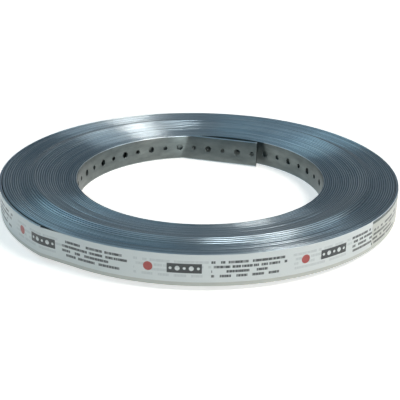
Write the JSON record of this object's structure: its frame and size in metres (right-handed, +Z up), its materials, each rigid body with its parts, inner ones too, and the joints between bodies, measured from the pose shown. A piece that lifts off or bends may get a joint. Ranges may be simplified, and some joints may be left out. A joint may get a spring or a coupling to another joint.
{
  "type": "coil of perforated steel strap",
  "caption": "Flat coil of galvanised perforated steel strap with alternating large and small nail holes, lying on its side and held by a band of printed tape.",
  "frame": {"origin": "on the floor, in the middle of the coil's open middle", "axes": "+Z up along the coil's axis; the strap winds anticlockwise seen from above, and its inner end lies towards +Y"},
  "size_m": [0.2895, 0.2884, 0.0247],
  "materials": {
    "zinc_coated_steel": "hot-dip galvanised strip, rolled smooth, with bright slit edges",
    "label_film": "thin white printed film"
  },
  "bodies": {
    "root": {"strap_coil": "zinc_coated_steel", "label_tape": "label_film"}
  },
  "joints": []
}
